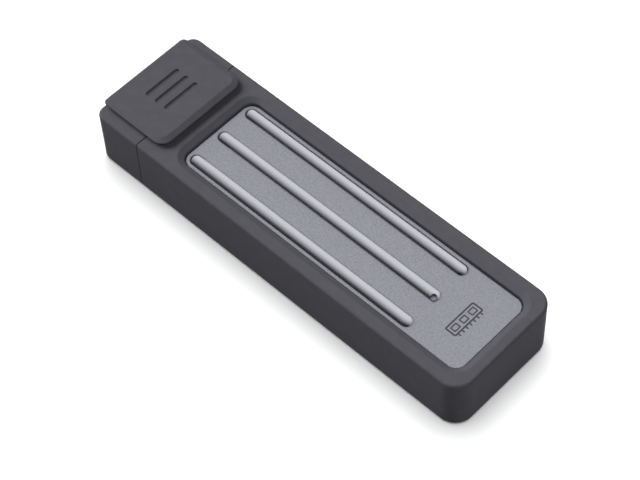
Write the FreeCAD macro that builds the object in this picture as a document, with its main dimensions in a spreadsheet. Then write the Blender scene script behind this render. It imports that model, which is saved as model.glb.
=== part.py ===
# Stick-shaped solid state drive with a rubber sleeve and a pull-off cap.
#
# X runs along the stick: the cap end is at -X and the closed end at +X.
# Y is the width, and Z is up from the flat underside of the sleeve at Z = 0.
# The origin is the middle of the underside.  All sizes are in millimetres.
import FreeCAD
import Part
import math
import os
import re
import Sketcher

# Driving dimensions: alias, value, meaning.
SIZES = [
    # Whole stick
    ("overall_length", 70.0, "cap end to closed end"),
    ("body_width", 20.0, "sleeve and cap, across"),
    ("sleeve_height", 9.75, "underside to top of sleeve and cap"),
    ("near_corner", 3.0, "upright corners at the closed end"),
    ("top_edge", 0.45, "rounding of the top outer edges"),
    ("foot_edge", 0.55, "rounding of the bottom outer edges"),
    # Sleeve
    ("side_wall", 1.3, "sleeve, long sides"),
    ("end_wall", 1.5, "sleeve, closed end"),
    ("floor_wall", 1.4, "sleeve, underside"),
    ("lip_thickness", 1.35, "sleeve, above the drive"),
    ("mouth_corner", 0.3, "upright corners in the sleeve's mouth"),
    ("window_setback", 6.0, "seam to window"),
    ("end_rim", 2.55, "window to closed end"),
    ("side_rim", 2.65, "window to long side"),
    ("window_corner", 1.9, "corners of the window"),
    ("bevel_run", 0.95, "window bevel, sideways"),
    ("bevel_drop", 0.55, "window bevel, downwards"),
    # Cap
    ("cap_length", 8.8, "cap end to seam"),
    ("cap_corner", 1.6, "upright corners of the cap end"),
    ("seam_gap", 0.15, "open line between cap and sleeve"),
    ("socket_gap", 0.06, "cap socket round the plug"),
    ("socket_spare", 0.35, "cap socket beyond the plug tip"),
    # Thumb pad on the cap
    ("pad_length", 12.5, "thumb pad, along the stick"),
    ("pad_width", 16.4, "thumb pad, across"),
    ("pad_rise", 1.25, "top of thumb pad above the sleeve"),
    ("pad_gap", 0.15, "thumb pad above the sleeve it reaches over"),
    ("pad_neck_inset", 0.4, "undercut below the lip of the pad"),
    ("pad_lip", 0.5, "height of the lip of the pad"),
    ("pad_bevel_run", 0.88, "bevel of the pad, sideways"),
    ("pad_bevel_drop", 0.42, "bevel of the pad, downwards"),
    ("pad_end_bevel", 0.4, "bevel of the pad at the cap end"),
    ("pad_corner", 1.9, "pad corners over the sleeve"),
    ("pad_end_corner", 0.8, "pad corners at the cap end"),
    ("grip_length", 6.4, "grip groove, across the stick"),
    ("grip_width", 0.8, "grip groove, along the stick"),
    ("grip_depth", 0.25, "grip groove, depth"),
    ("grip_pitch", 1.9, "grip groove to grip groove"),
    ("grip_count", 3, "number of grip grooves"),
    # Drive inside the sleeve
    ("fit_gap", 0.1, "drive to sleeve, all round"),
    ("front_recess", 0.35, "front of drive behind the sleeve's mouth"),
    ("front_corner", 0.5, "upright corners of the drive's front"),
    ("parting_height", 6.2, "joint of tray and cover above the underside"),
    ("cover_wall", 1.1, "side wall of cover and tray"),
    ("tray_floor", 1.0, "floor of the tray"),
    ("tray_edge", 0.5, "chamfer under the tray"),
    ("inner_corner", 0.5, "upright corners inside tray and cover"),
    # Cover
    ("plate_drop", 0.9, "ribbed plate below the top of the sleeve"),
    ("plate_thickness", 1.0, "ribbed plate"),
    ("plate_gap", 0.15, "ribbed plate to the window"),
    ("plate_edge", 0.12, "chamfer round the ribbed plate"),
    ("rib_width", 2.06, "arched rib, across its foot"),
    ("rib_height", 0.62, "arched rib above the plate"),
    ("rib_margin", 1.6, "long edge of the plate to the middle of the outer rib"),
    ("rib_count", 3, "number of ribs"),
    ("rib_start", 0.62, "plate's end at the cap to rib"),
    ("rib_tail", 9.45, "rib to the plate's end at the closed end"),
    ("lamp_hole", 0.45, "radius of the lamp hole"),
    ("lamp_inset", 0.63, "lamp hole from the end of the middle rib"),
    ("lamp_offset", 0.49, "lamp hole from the crest of the middle rib"),
    # Screws
    ("screw_inset", 1.2, "screw from the inner side wall"),
    ("screw_front", 2.7, "screw from the front of the drive"),
    ("screw_back", 2.8, "screw from the closed end of the drive"),
    ("screw_radius", 0.7, "shank"),
    ("screw_head", 1.15, "radius of the head"),
    ("screw_head_height", 0.7, "height of the head"),
    ("screw_reach", 1.9, "shank inside the cover's boss"),
    ("screw_slot_depth", 0.35, "cross recess in the head"),
    ("screw_slot_width", 0.3, "cross recess in the head"),
    ("screw_slot_length", 1.4, "cross recess in the head"),
    ("screw_play", 0.05, "hole round the shank"),
    ("boss_radius", 1.35, "boss in the tray"),
    ("boss_play", 0.15, "boss of the cover to the side walls"),
    # Board
    ("board_thickness", 0.8, "circuit board"),
    ("board_gap", 0.15, "board to the tray's walls"),
    ("board_corner", 0.5, "corners of the board"),
    ("tail_reach", 1.2, "contact tails on the board"),
    # Plug
    ("plug_axis_height", 4.9, "middle of plug and board above the underside"),
    ("plug_width", 8.25, "plug shell outside"),
    ("plug_height", 2.4, "plug shell outside"),
    ("plug_wall", 0.25, "plug shell sheet"),
    ("plug_reach", 6.65, "plug shell beyond the drive"),
    ("plug_inside", 2.9, "plug shell inside the drive"),
    ("plug_lead_in", 0.12, "chamfer round the mouth of the plug shell"),
    ("bezel_thickness", 1.2, "front bezel"),
    ("bezel_gap", 0.05, "front bezel to the side walls"),
    ("insulator_setback", 0.3, "insulator behind the shell's mouth"),
    ("tongue_slot_width", 6.7, "slot for the socket's tongue"),
    ("tongue_slot_depth", 5.6, "slot for the socket's tongue"),
    ("contact_thickness", 0.15, "contact spring"),
    ("contact_width", 0.25, "contact spring"),
    ("contact_pitch", 0.5, "contact to contact"),
    ("contact_count", 12, "contacts in a row"),
    ("contact_setback", 0.8, "contact tip behind the insulator's mouth"),
    ("contact_bump", 0.08, "raised touch point of a contact"),
    ("bump_length", 0.9, "raised touch point of a contact"),
    ("latch_thickness", 0.15, "latch plate"),
    ("latch_inset", 0.12, "latch plate inside the insulator's sides"),
    ("latch_arm", 0.3, "width of a latch arm"),
    ("latch_hook", 0.25, "hook of a latch arm"),
    ("latch_hook_length", 0.6, "hook of a latch arm"),
    ("latch_setback", 1.1, "latch tip behind the insulator's mouth"),
    # Parts on the board
    ("controller_start", 4.6, "front edge of the board to the controller"),
    ("controller_side", 9.0, "controller, square"),
    ("controller_height", 1.0, "controller"),
    ("memory_count", 2, "memory chips, spread evenly from the controller to the light pipe"),
    ("memory_length", 11.5, "memory chip, along the stick"),
    ("memory_width", 13.0, "memory chip, across"),
    ("memory_height", 1.1, "memory chip"),
    ("chip_chamfer", 0.12, "top edges of a chip"),
    ("pad_margin", 0.6, "thermal pad inside a chip's edges"),
    ("power_inset", 5.95, "back edge of the board to the middle of the power parts"),
    ("power_side", 3.0, "power chip, square"),
    ("power_height", 0.75, "power chip"),
    ("power_offset", -2.4, "power chip, across"),
    ("inductor_side", 3.2, "inductor, square"),
    ("inductor_height", 1.5, "inductor"),
    ("inductor_offset", 2.2, "inductor, across"),
    ("front_row", 3.1, "front edge of the board to the middle of the row of small parts"),
    ("crystal_length", 2.0, "crystal, along the stick"),
    ("crystal_width", 2.5, "crystal, across"),
    ("crystal_height", 0.6, "crystal"),
    ("crystal_inset", 1.95, "side of the board to the middle of the crystal"),
    ("capacitor_length", 1.0, "capacitor, along the stick"),
    ("capacitor_width", 0.6, "capacitor, across"),
    ("capacitor_height", 0.55, "capacitor"),
    ("capacitor_inset", 1.15, "side of the board to the middle of the first capacitor"),
    ("capacitor_spare", 1.95, "middle of the last capacitor to the crystal"),
    ("capacitor_count", 7, "number of capacitors"),
    ("resistor_length", 0.6, "resistor, along the stick"),
    ("resistor_width", 0.35, "resistor, across"),
    ("resistor_height", 0.3, "resistor"),
    ("resistor_first", 2.2, "middle line to the first resistor"),
    ("resistor_inset", 1.55, "side of the board to the last resistor"),
    ("resistor_count", 5, "number of resistors"),
    ("lamp_length", 1.0, "lamp, along the stick"),
    ("lamp_width", 1.6, "lamp, across"),
    ("lamp_height", 0.6, "lamp"),
    # Light pipe
    ("pipe_play", 0.03, "pipe in the lamp hole"),
    ("pipe_top_drop", 0.7, "top of pipe below the top of the sleeve"),
    ("pipe_foot", 0.95, "radius of the pipe below the cover"),
    ("pipe_air", 0.1, "pipe above the lamp"),
]

# Places worked out from the driving dimensions, as expressions of the sheet.
CAP_END = "(-overall_length / 2)"
CLOSED_END = "(overall_length / 2)"
SEAM = f"({CAP_END} + cap_length)"
CAP_FACE = f"({SEAM} - seam_gap / 2)"
SLEEVE_FACE = f"({SEAM} + seam_gap / 2)"
HALF_WIDTH = "(body_width / 2)"

WINDOW_LEFT = f"({SEAM} + window_setback)"
WINDOW_RIGHT = f"({CLOSED_END} - end_rim)"
WINDOW_SIDE = f"({HALF_WIDTH} - side_rim)"
LIP_UNDERSIDE = "(sleeve_height - lip_thickness)"

DRIVE_FRONT = f"({SLEEVE_FACE} + front_recess)"
DRIVE_BACK = f"({CLOSED_END} - end_wall - fit_gap)"
DRIVE_SIDE = f"({HALF_WIDTH} - side_wall - fit_gap)"
DRIVE_BOTTOM = "(floor_wall + fit_gap)"
DRIVE_TOP = f"({LIP_UNDERSIDE} - fit_gap)"
DRIVE_CORNER = "(near_corner - side_wall - fit_gap)"
INNER_SIDE = f"({DRIVE_SIDE} - cover_wall)"
INNER_BACK = f"({DRIVE_BACK} - cover_wall)"
INNER_FLOOR = f"({DRIVE_BOTTOM} + tray_floor)"

PLATE_TOP = "(sleeve_height - plate_drop)"
CEILING = f"({PLATE_TOP} - plate_thickness)"
PLATE_LEFT = f"({WINDOW_LEFT} + plate_gap)"
PLATE_RIGHT = f"({WINDOW_RIGHT} - plate_gap)"
PLATE_SIDE = f"({WINDOW_SIDE} - plate_gap)"
RIB_LEFT = f"({PLATE_LEFT} + rib_start)"
RIB_RIGHT = f"({PLATE_RIGHT} - rib_tail)"
RIB_SPAN = f"(2 * ({PLATE_SIDE} - rib_margin))"
RIB_FIRST = f"(-{RIB_SPAN} / 2)"
RIB_CURVE = "((rib_width * rib_width / 4 + rib_height * rib_height) / (2 * rib_height))"
RIB_CENTRE = f"({PLATE_TOP} + rib_height - {RIB_CURVE})"
LAMP_X = f"({RIB_RIGHT} - lamp_inset)"
LAMP_Y = "(-lamp_offset)"

BOARD_TOP = "(plug_axis_height + board_thickness / 2)"
BOARD_BOTTOM = "(plug_axis_height - board_thickness / 2)"
BOARD_SIDE = f"({INNER_SIDE} - board_gap)"
BOARD_BACK = f"({INNER_BACK} - board_gap)"
PLUG_TIP = f"({DRIVE_FRONT} - plug_reach)"
PLUG_BACK = f"({DRIVE_FRONT} + plug_inside)"
BOARD_FRONT = f"({PLUG_BACK} + board_gap)"
SHELL_WIDTH_IN = "(plug_width - 2 * plug_wall)"
SHELL_HEIGHT_IN = "(plug_height - 2 * plug_wall)"
INSULATOR_MOUTH = f"({PLUG_TIP} + insulator_setback)"
SLOT_END = f"({INSULATOR_MOUTH} + tongue_slot_depth)"
SLOT_HEIGHT = "(board_thickness + 2 * contact_thickness)"
LATCH_SIDE = f"({SHELL_WIDTH_IN} / 2 - latch_inset)"
SCREW_FRONT_X = f"({DRIVE_FRONT} + screw_front)"
SCREW_BACK_X = f"({DRIVE_BACK} - screw_back)"
SCREW_SIDE = f"({INNER_SIDE} - screw_inset)"

CONTROLLER_X = f"({BOARD_FRONT} + controller_start + controller_side / 2)"
CONTROLLER_END = f"({BOARD_FRONT} + controller_start + controller_side)"
MEMORY_ROOM = f"({LAMP_X} - pipe_foot - {CONTROLLER_END})"
MEMORY_SPACE = f"(({MEMORY_ROOM} - memory_count * memory_length) / (memory_count + 1))"
MEMORY_PITCH = f"(memory_length + {MEMORY_SPACE})"
MEMORY_START = f"({CONTROLLER_END} + {MEMORY_SPACE})"
POWER_X = f"({BOARD_BACK} - power_inset)"
FRONT_ROW_X = f"({BOARD_FRONT} + front_row)"
CRYSTAL_Y = f"({BOARD_SIDE} - crystal_inset)"
CAPACITOR_FIRST = f"(capacitor_inset - {BOARD_SIDE})"
CAPACITOR_LAST = f"({CRYSTAL_Y} - crystal_width / 2 - capacitor_spare)"
RESISTOR_LAST = f"({BOARD_SIDE} - resistor_inset)"

PAD_RIGHT = f"({CAP_END} + pad_length)"
PAD_TOP = "(sleeve_height + pad_rise)"
PAD_LIP_Z = f"({PAD_TOP} - pad_lip)"
PAD_MIDDLE = f"({CAP_END} + (pad_end_bevel + pad_length - pad_bevel_run) / 2)"

# A cutting sketch runs this far past the face that it opens.
OVERCUT = "2"
# Two faces are the same within this.
SAME = 1e-4

document = FreeCAD.newDocument("SolidStateDrive")
sheet = document.addObject("Spreadsheet::Sheet", "Sizes")
for row, (alias, size, meaning) in enumerate(SIZES, start=1):
    sheet.set(f"A{row}", meaning)
    sheet.set(f"B{row}", str(size))
    sheet.setAlias(f"B{row}", alias)
document.recompute()

ALIAS = re.compile(r"\b(" + "|".join(alias for alias, _, _ in SIZES) + r")\b")
bodies = []


def bound(text):
    """Expression for setExpression: each alias is looked up in the sheet."""
    return ALIAS.sub(r"Sizes.\1", text)


def value(text):
    """Number that an expression has now."""
    return float(sheet.evalExpression(text))


def vector(x, y, z=0.0):
    return FreeCAD.Vector(x, y, z)


# Bodies, sketches and features

def new_body(label):
    body = document.addObject("PartDesign::Body", label)
    body.Label = label
    bodies.append(body)
    return body


def origin_part(body, role):
    return next(part for part in body.Origin.OriginFeatures if part.Role == role)


def new_sketch(body, name, plane="XY_Plane", offset="0"):
    """Sketch on a plane of the body's origin, moved along the plane's normal."""
    sketch = body.newObject("Sketcher::SketchObject", name)
    sketch.AttachmentSupport = [(origin_part(body, plane), "")]
    sketch.MapMode = "FlatFace"
    sketch.setExpression("AttachmentOffset.Base.z", bound(offset))
    return sketch


def dimension(sketch, kind, where, text):
    """Named constraint whose size follows an expression."""
    index = sketch.addConstraint(Sketcher.Constraint(kind, *where, value(text)))
    name = f"size_{index}"
    sketch.renameConstraint(index, name)
    sketch.setExpression(f"Constraints.{name}", bound(text))


def rounded_rectangle(sketch, left, right, low, high, corners):
    """Four sides and four arcs.  Corners run from bottom left round to top left."""
    x0, x1, y0, y1 = (value(text) for text in (left, right, low, high))
    radii = [value(text) for text in corners]
    centres = [
        vector(x0 + radii[0], y0 + radii[0]),
        vector(x1 - radii[1], y0 + radii[1]),
        vector(x1 - radii[2], y1 - radii[2]),
        vector(x0 + radii[3], y1 - radii[3]),
    ]
    first = len(sketch.Geometry)
    ends = [
        (vector(centres[0].x, y0), vector(centres[1].x, y0)),
        (vector(x1, centres[1].y), vector(x1, centres[2].y)),
        (vector(centres[2].x, y1), vector(centres[3].x, y1)),
        (vector(x0, centres[3].y), vector(x0, centres[0].y)),
    ]
    quarter = math.pi / 2
    arc_after_side = [1, 2, 3, 0]
    for side in range(4):
        sketch.addGeometry(Part.LineSegment(*ends[side]), False)
        corner = arc_after_side[side]
        circle = Part.Circle(centres[corner], vector(0, 0, 1), radii[corner])
        start = (side - 1) * quarter
        sketch.addGeometry(Part.ArcOfCircle(circle, start, start + quarter), False)
    for side in range(4):
        line = first + 2 * side
        arc = line + 1
        next_line = first + (2 * side + 2) % 8
        sketch.addConstraint(Sketcher.Constraint("Tangent", line, 2, arc, 1))
        sketch.addConstraint(Sketcher.Constraint("Tangent", arc, 2, next_line, 1))
        sketch.addConstraint(Sketcher.Constraint("Vertical" if side % 2 else "Horizontal", line))
        dimension(sketch, "Radius", (arc,), corners[arc_after_side[side]])
    dimension(sketch, "DistanceY", (-1, 1, first, 1), low)
    dimension(sketch, "DistanceX", (-1, 1, first + 2, 1), right)
    dimension(sketch, "DistanceY", (-1, 1, first + 4, 1), high)
    dimension(sketch, "DistanceX", (-1, 1, first + 6, 1), left)


def slot_outline(sketch, middle_x, middle_y, length, height):
    """Slot with full round ends, lying along the sketch's first axis."""
    x, y = value(middle_x), value(middle_y)
    radius = value(height) / 2
    reach = value(length) / 2 - radius
    half = math.pi / 2
    first = len(sketch.Geometry)
    right_end = Part.Circle(vector(x + reach, y), vector(0, 0, 1), radius)
    left_end = Part.Circle(vector(x - reach, y), vector(0, 0, 1), radius)
    sketch.addGeometry(Part.LineSegment(vector(x - reach, y - radius), vector(x + reach, y - radius)), False)
    sketch.addGeometry(Part.ArcOfCircle(right_end, -half, half), False)
    sketch.addGeometry(Part.LineSegment(vector(x + reach, y + radius), vector(x - reach, y + radius)), False)
    sketch.addGeometry(Part.ArcOfCircle(left_end, half, 3 * half), False)
    for index in range(4):
        here, after = first + index, first + (index + 1) % 4
        sketch.addConstraint(Sketcher.Constraint("Tangent", here, 2, after, 1))
    sketch.addConstraint(Sketcher.Constraint("Horizontal", first))
    dimension(sketch, "Radius", (first + 1,), f"({height}) / 2")
    for arc, sign in ((first + 1, "+"), (first + 3, "-")):
        dimension(sketch, "DistanceX", (-1, 1, arc, 3), f"({middle_x}) {sign} (({length}) - ({height})) / 2")
    dimension(sketch, "DistanceY", (-1, 1, first + 1, 3), middle_y)


def upright_slot(sketch, middle_x, middle_y, width, length):
    """Slot with full round ends, lying along the sketch's second axis."""
    x, y = value(middle_x), value(middle_y)
    radius = value(width) / 2
    reach = value(length) / 2 - radius
    first = len(sketch.Geometry)
    upper_end = Part.Circle(vector(x, y + reach), vector(0, 0, 1), radius)
    lower_end = Part.Circle(vector(x, y - reach), vector(0, 0, 1), radius)
    sketch.addGeometry(Part.LineSegment(vector(x + radius, y - reach), vector(x + radius, y + reach)), False)
    sketch.addGeometry(Part.ArcOfCircle(upper_end, 0, math.pi), False)
    sketch.addGeometry(Part.LineSegment(vector(x - radius, y + reach), vector(x - radius, y - reach)), False)
    sketch.addGeometry(Part.ArcOfCircle(lower_end, math.pi, 2 * math.pi), False)
    for index in range(4):
        here, after = first + index, first + (index + 1) % 4
        sketch.addConstraint(Sketcher.Constraint("Tangent", here, 2, after, 1))
    sketch.addConstraint(Sketcher.Constraint("Vertical", first))
    dimension(sketch, "Radius", (first + 1,), f"({width}) / 2")
    for arc, sign in ((first + 1, "+"), (first + 3, "-")):
        dimension(sketch, "DistanceY", (-1, 1, arc, 3), f"({middle_y}) {sign} (({length}) - ({width})) / 2")
    dimension(sketch, "DistanceX", (-1, 1, first + 1, 3), middle_x)


def polygon(sketch, points):
    """Closed outline of straight sides.  Each corner is a pair of expressions."""
    first = len(sketch.Geometry)
    places = [vector(value(x), value(y)) for x, y in points]
    count = len(points)
    for index in range(count):
        sketch.addGeometry(Part.LineSegment(places[index], places[(index + 1) % count]), False)
    for index, (x, y) in enumerate(points):
        here, before = first + index, first + (index - 1) % count
        sketch.addConstraint(Sketcher.Constraint("Coincident", before, 2, here, 1))
        dimension(sketch, "DistanceX", (-1, 1, here, 1), x)
        dimension(sketch, "DistanceY", (-1, 1, here, 1), y)


def rectangle(sketch, left, right, low, high):
    polygon(sketch, [(left, low), (right, low), (right, high), (left, high)])


def circle(sketch, x, y, radius):
    index = len(sketch.Geometry)
    centre = vector(value(x), value(y))
    sketch.addGeometry(Part.Circle(centre, vector(0, 0, 1), value(radius)), False)
    dimension(sketch, "DistanceX", (-1, 1, index, 3), x)
    dimension(sketch, "DistanceY", (-1, 1, index, 3), y)
    dimension(sketch, "Radius", (index,), radius)


def pad(body, sketch, height, name):
    feature = body.newObject("PartDesign::Pad", name)
    feature.Profile = sketch
    feature.setExpression("Length", bound(height))
    document.recompute()
    return feature


def pocket(body, sketch, depth, name, upwards=False):
    """Cut a sketch into the body: downwards along the sketch's normal, or upwards."""
    before = body.Shape.Volume
    feature = body.newObject("PartDesign::Pocket", name)
    feature.Profile = sketch
    feature.Reversed = upwards
    feature.setExpression("Length", bound(depth))
    document.recompute()
    if not body.Shape.Volume < before - SAME:
        raise RuntimeError(f"{body.Label}: {name} cuts nothing")
    return feature


def pocket_both_ways(body, sketch, width, name):
    """Cut a sketch to both sides of its plane."""
    before = body.Shape.Volume
    feature = body.newObject("PartDesign::Pocket", name)
    feature.Profile = sketch
    feature.Midplane = True
    feature.setExpression("Length", bound(width))
    document.recompute()
    if not body.Shape.Volume < before - SAME:
        raise RuntimeError(f"{body.Label}: {name} cuts nothing")
    return feature


def loft(body, kind, sections, name):
    feature = body.newObject(f"PartDesign::{kind}", name)
    feature.Profile = sections[0]
    feature.Sections = sections[1:]
    feature.Ruled = True
    document.recompute()
    return feature


def edges_at(shape, height, accept=lambda box: True):
    """Names of the level edges at one height that a test accepts."""
    names = []
    for index, edge in enumerate(shape.Edges, start=1):
        box = edge.BoundBox
        if abs(box.ZMin - height) < SAME and abs(box.ZMax - height) < SAME and accept(box):
            names.append(f"Edge{index}")
    return names


def upright_edges(shape, place):
    """Names of the upright edges at one place along the stick."""
    names = []
    for index, edge in enumerate(shape.Edges, start=1):
        box = edge.BoundBox
        if box.ZLength > SAME and box.XLength < SAME and abs(box.XMin - place) < SAME:
            names.append(f"Edge{index}")
    return names


def dress(body, kind, base, names, size, name):
    """Fillet or chamfer on named edges."""
    feature = body.newObject(f"PartDesign::{kind}", name)
    feature.Base = (base, names)
    feature.setExpression("Radius" if kind == "Fillet" else "Size", bound(size))
    document.recompute()
    return feature


def row_of(body, feature, axis, length, count, name):
    """Copies of a feature in a row along an axis of the body's origin."""
    pattern = body.newObject("PartDesign::LinearPattern", name)
    pattern.Originals = [feature]
    pattern.Direction = (origin_part(body, axis), [""])
    pattern.setExpression("Length", bound(length))
    pattern.setExpression("Occurrences", bound(count))
    body.Tip = pattern
    document.recompute()
    return pattern


def screw_places():
    return [(x, side) for x in (SCREW_FRONT_X, SCREW_BACK_X) for side in (SCREW_SIDE, f"(-{SCREW_SIDE})")]


def drive_outline(sketch):
    """Outside of tray and cover: square front, rounded towards the closed end."""
    corners = ("front_corner", DRIVE_CORNER, DRIVE_CORNER, "front_corner")
    rounded_rectangle(sketch, DRIVE_FRONT, DRIVE_BACK, f"-{DRIVE_SIDE}", DRIVE_SIDE, corners)


def inner_outline(sketch):
    """Room inside tray and cover, open at the front where the bezel goes."""
    corners = ("inner_corner",) * 4
    rounded_rectangle(sketch, f"{DRIVE_FRONT} - {OVERCUT}", INNER_BACK, f"-{INNER_SIDE}", INNER_SIDE, corners)


def outer_block(body, left, right, far_end, corner):
    """Sleeve or cap before it is hollowed: square at the seam, rounded at the far end."""
    label = body.Label
    outline = new_sketch(body, f"{label}_outline")
    rectangle(outline, left, right, f"-{HALF_WIDTH}", HALF_WIDTH)
    block = pad(body, outline, "sleeve_height", f"{label}_block")
    end = value(far_end)
    block = dress(body, "Fillet", block, upright_edges(block.Shape, end), corner, f"{label}_corners")
    seam = value(left) + value(right) - end

    def away_from_seam(box):
        return max(abs(box.XMin - seam), abs(box.XMax - seam)) > SAME

    top = edges_at(block.Shape, value("sleeve_height"), away_from_seam)
    block = dress(body, "Fillet", block, top, "top_edge", f"{label}_top_edge")
    foot = edges_at(block.Shape, 0.0, away_from_seam)
    dress(body, "Fillet", block, foot, "foot_edge", f"{label}_foot_edge")


# Sleeve: a moulded boot, open at the seam, with a bevelled window on top

def make_sleeve():
    body = new_body("sleeve")
    outer_block(body, SLEEVE_FACE, CLOSED_END, CLOSED_END, "near_corner")

    cavity = new_sketch(body, "sleeve_cavity", offset="floor_wall")
    side = f"({HALF_WIDTH} - side_wall)"
    cavity_corner = "(near_corner - side_wall)"
    corners = ("mouth_corner", cavity_corner, cavity_corner, "mouth_corner")
    mouth = f"{SLEEVE_FACE} - {OVERCUT}"
    rounded_rectangle(cavity, mouth, f"{CLOSED_END} - end_wall", f"-{side}", side, corners)
    pocket(body, cavity, f"{LIP_UNDERSIDE} - floor_wall", "sleeve_hollow", upwards=True)

    window = new_sketch(body, "window_outline", offset="sleeve_height")
    corners = ("window_corner",) * 4
    rounded_rectangle(window, WINDOW_LEFT, WINDOW_RIGHT, f"-{WINDOW_SIDE}", WINDOW_SIDE, corners)
    pocket(body, window, "lip_thickness", "window_opening")

    sections = []
    for name, height, run in (
        ("bevel_rim", "sleeve_height", "bevel_run"),
        ("bevel_foot", "sleeve_height - bevel_drop", "0"),
    ):
        section = new_sketch(body, name, offset=height)
        corners = (f"window_corner + {run}",) * 4
        rounded_rectangle(
            section,
            f"{WINDOW_LEFT} - {run}",
            f"{WINDOW_RIGHT} + {run}",
            f"-({WINDOW_SIDE} + {run})",
            f"{WINDOW_SIDE} + {run}",
            corners,
        )
        sections.append(section)
    loft(body, "SubtractiveLoft", sections, "window_bevel")


# Cap: moulded in one piece with the thumb pad that reaches over the sleeve

def pad_section(body, name, height, run, end_run):
    """Outline of the thumb pad at one height, drawn in by the bevel."""
    section = new_sketch(body, name, offset=height)
    side = f"(pad_width / 2 - {run})"
    over_corner = f"(pad_corner - {run})"
    end_corner = f"(pad_end_corner - {end_run})"
    corners = (end_corner, over_corner, over_corner, end_corner)
    rounded_rectangle(section, f"{CAP_END} + {end_run}", f"{PAD_RIGHT} - {run}", f"-{side}", side, corners)
    return section


def make_cap():
    body = new_body("cap")
    outer_block(body, CAP_END, CAP_FACE, CAP_END, "cap_corner")

    root = "(2 * top_edge)"
    neck = new_sketch(body, "pad_neck", offset=f"sleeve_height - {root}")
    side = "(pad_width / 2 - pad_neck_inset)"
    over_corner = "(pad_corner - pad_neck_inset)"
    corners = ("pad_end_corner", over_corner, over_corner, "pad_end_corner")
    rounded_rectangle(neck, CAP_END, f"{PAD_RIGHT} - pad_neck_inset", f"-{side}", side, corners)
    pad(body, neck, f"pad_rise + {root} - pad_lip", "pad_neck_block")

    relief = new_sketch(body, "sleeve_relief", "XZ_Plane")
    clear_top = "(sleeve_height + pad_gap)"
    clear_foot = f"sleeve_height - {root} - {OVERCUT}"
    rectangle(relief, CAP_FACE, f"{PAD_RIGHT} + {OVERCUT}", clear_foot, clear_top)
    pocket_both_ways(body, relief, f"pad_width + {OVERCUT}", "sleeve_relief_cut")

    edge = new_sketch(body, "pad_edge", offset=PAD_LIP_Z)
    side = "(pad_width / 2)"
    corners = ("pad_end_corner", "pad_corner", "pad_corner", "pad_end_corner")
    rounded_rectangle(edge, CAP_END, PAD_RIGHT, f"-{side}", side, corners)
    pad(body, edge, "pad_lip - pad_bevel_drop", "pad_edge_block")
    low = pad_section(body, "pad_bevel_low", f"{PAD_TOP} - pad_bevel_drop", "0", "0")
    high = pad_section(body, "pad_bevel_high", PAD_TOP, "pad_bevel_run", "pad_end_bevel")
    loft(body, "AdditiveLoft", [low, high], "pad_bevel")

    groove = new_sketch(body, "grip_groove", offset=PAD_TOP)
    first_groove = f"{PAD_MIDDLE} - grip_pitch * (grip_count - 1) / 2"
    upright_slot(groove, first_groove, "0", "grip_width", "grip_length")
    cut = pocket(body, groove, "grip_depth", "grip_groove_cut")
    row_of(body, cut, "X_Axis", "grip_pitch * (grip_count - 1)", "grip_count", "grip_grooves")

    socket = new_sketch(body, "plug_socket", "YZ_Plane", offset=CAP_FACE)
    width, height = (f"{size} + 2 * socket_gap" for size in ("plug_width", "plug_height"))
    slot_outline(socket, "0", "plug_axis_height", width, height)
    pocket(body, socket, f"{CAP_FACE} - {PLUG_TIP} + socket_spare", "plug_socket_cut")


# Cover: aluminium, with the ribbed plate that stands up into the window

def rib_profile(sketch):
    """Half of a rib seen from above, to be turned half a turn about its length inside the plate."""
    radius = value(RIB_CURVE)
    first, last = value(f"{RIB_LEFT} + rib_width / 2"), value(f"{RIB_RIGHT} - rib_width / 2")
    left_end = Part.Circle(vector(first, 0), vector(0, 0, 1), radius)
    right_end = Part.Circle(vector(last, 0), vector(0, 0, 1), radius)
    sketch.addGeometry(Part.LineSegment(vector(first - radius, 0), vector(last + radius, 0)), False)
    sketch.addGeometry(Part.ArcOfCircle(right_end, 0, math.pi / 2), False)
    sketch.addGeometry(Part.LineSegment(vector(last, radius), vector(first, radius)), False)
    sketch.addGeometry(Part.ArcOfCircle(left_end, math.pi / 2, math.pi), False)
    sketch.addConstraint(Sketcher.Constraint("Coincident", 0, 2, 1, 1))
    sketch.addConstraint(Sketcher.Constraint("Tangent", 1, 2, 2, 1))
    sketch.addConstraint(Sketcher.Constraint("Tangent", 2, 2, 3, 1))
    sketch.addConstraint(Sketcher.Constraint("Coincident", 3, 2, 0, 1))
    sketch.addConstraint(Sketcher.Constraint("Horizontal", 2))
    dimension(sketch, "Radius", (1,), RIB_CURVE)
    dimension(sketch, "Radius", (3,), RIB_CURVE)
    dimension(sketch, "DistanceX", (-1, 1, 1, 3), f"{RIB_RIGHT} - rib_width / 2")
    dimension(sketch, "DistanceX", (-1, 1, 3, 3), f"{RIB_LEFT} + rib_width / 2")
    sketch.addConstraint(Sketcher.Constraint("PointOnObject", 1, 3, -1))
    sketch.addConstraint(Sketcher.Constraint("PointOnObject", 0, 1, -1))
    sketch.addConstraint(Sketcher.Constraint("PointOnObject", 0, 2, -1))


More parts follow.
